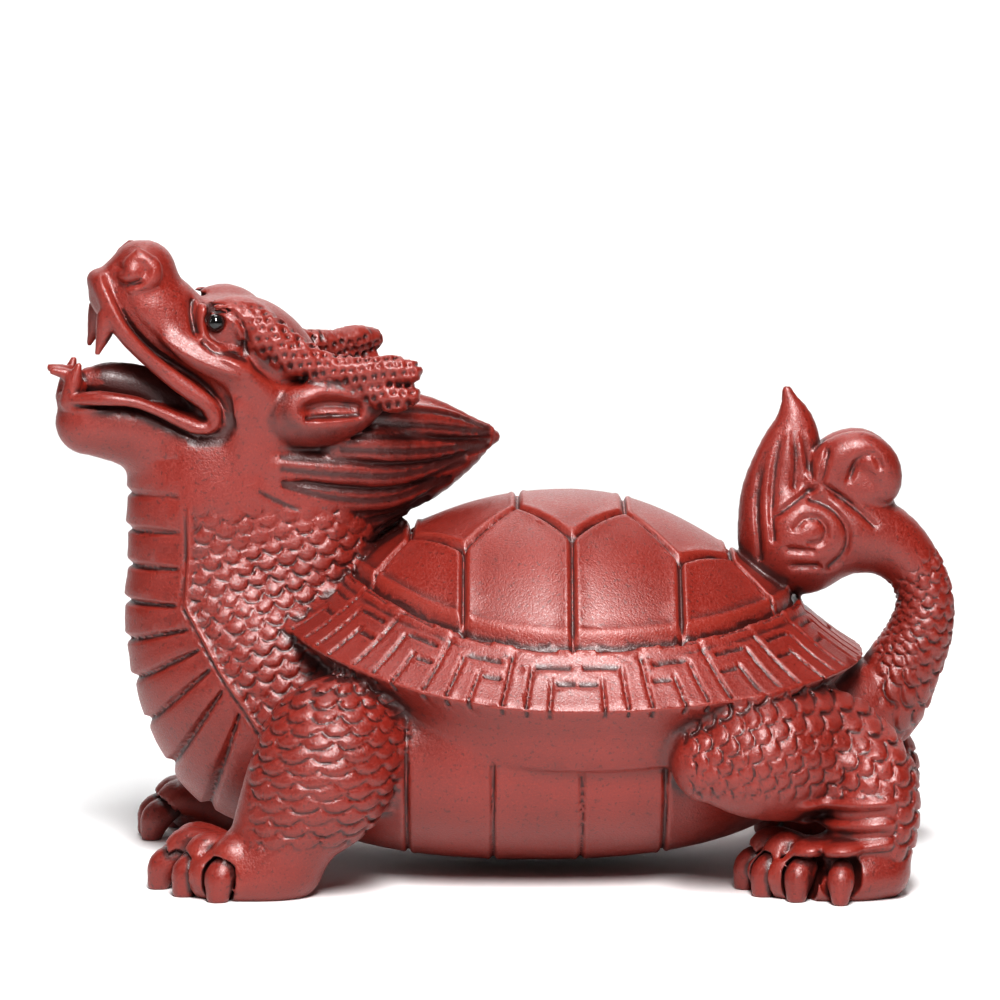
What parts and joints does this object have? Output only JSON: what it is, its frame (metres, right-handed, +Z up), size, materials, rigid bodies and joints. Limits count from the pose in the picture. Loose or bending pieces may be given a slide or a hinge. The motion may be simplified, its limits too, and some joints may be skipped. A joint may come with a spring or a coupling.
{
  "type": "dragon turtle figure",
  "caption": "Small unglazed red clay dragon turtle with raised head, open mouth, domed shell and a tail curled up over its back, kept on a tea tray as an ornament.",
  "frame": {"origin": "under the middle of the figure's bounding box, on the surface its feet stand on", "axes": "+X from the head towards the tail, +Y towards the figure's right flank, +Z up"},
  "size_m": [0.1198, 0.0688, 0.0829],
  "materials": {
    "red_clay": "unglazed, fine-grained, with a soft sheen",
    "eye_gloss": "glossy black"
  },
  "bodies": {
    "root": {"dragon_turtle": "red_clay", "eye_bead_left": "eye_gloss", "eye_bead_right": "eye_gloss"}
  },
  "joints": []
}
